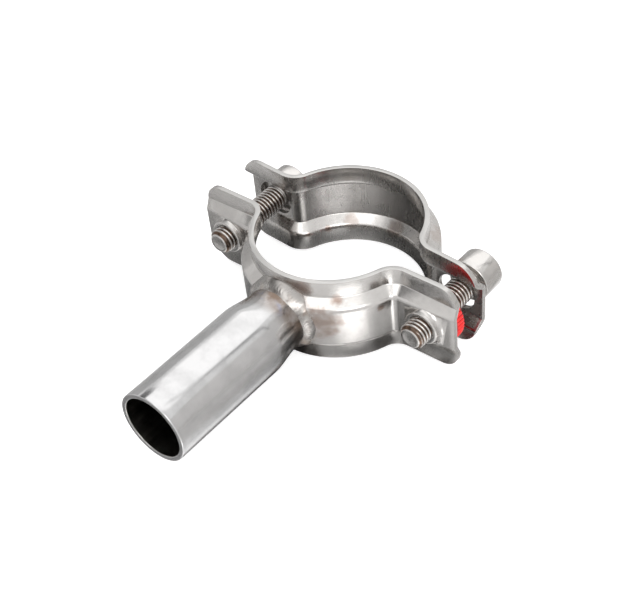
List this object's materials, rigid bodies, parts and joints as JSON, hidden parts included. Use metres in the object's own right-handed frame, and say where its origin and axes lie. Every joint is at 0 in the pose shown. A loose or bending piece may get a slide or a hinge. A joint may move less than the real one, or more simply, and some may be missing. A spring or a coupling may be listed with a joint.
{
  "type": "two-bolt tube clamp with welded tube stem",
  "caption": "Pressed stainless split clamp on a round tube stem, its two halves drawn together by socket-head screws, with a red knurled ring on one screw.",
  "frame": {"origin": "centre of the pipe seat in the front half, at the middle of the strap's width", "axes": "+Z along the held pipe, -Y along the stem towards its open end, +X towards the ear with the knurled ring"},
  "size_m": [0.0908, 0.1107, 0.0297],
  "materials": {
    "strap_steel": "polished pressed stainless sheet with faint forming marks",
    "tube_steel": "fine lengthwise brushed stainless tube with heat tint at the weld",
    "weld_steel": "rippled stainless weld bead",
    "screw_steel": "bright stainless screw",
    "red_plastic": "bright red moulded plastic"
  },
  "bodies": {
    "front": {"front_half": "strap_steel", "stem_tube": "tube_steel", "weld_bead": "weld_steel"},
    "back": {"back_half": "strap_steel"},
    "left_screw": {"screw_left": "screw_steel"},
    "right_screw": {"screw_right": "screw_steel"},
    "ring": {"knurled_ring": "red_plastic"}
  },
  "joints": [
    {"name": "back_slide", "type": "slide", "parent": "front", "child": "back", "axis": [0, -1, 0], "range_m": [-0.004, 0.0056]},
    {"name": "right_screw_turn", "type": "hinge", "parent": "back", "child": "right_screw", "pos_m": [0.036, 0, 0], "axis": [0, -1, 0], "range_deg": [-1153, 1613.8]},
    {"name": "left_screw_turn", "type": "hinge", "parent": "back", "child": "left_screw", "pos_m": [-0.036, 0, 0], "axis": [0, -1, 0], "range_deg": [-1153, 1613.8]},
    {"name": "ring_spin", "type": "hinge", "parent": "front", "child": "ring", "pos_m": [0.036, 0, 0], "axis": [0, -1, 0], "continuous": true}
  ],
  "couplings": [
    {"joint": "right_screw_turn", "follows": "back_slide", "rad_per_m": 5026.5},
    {"joint": "left_screw_turn", "follows": "back_slide", "rad_per_m": 5026.5}
  ]
}
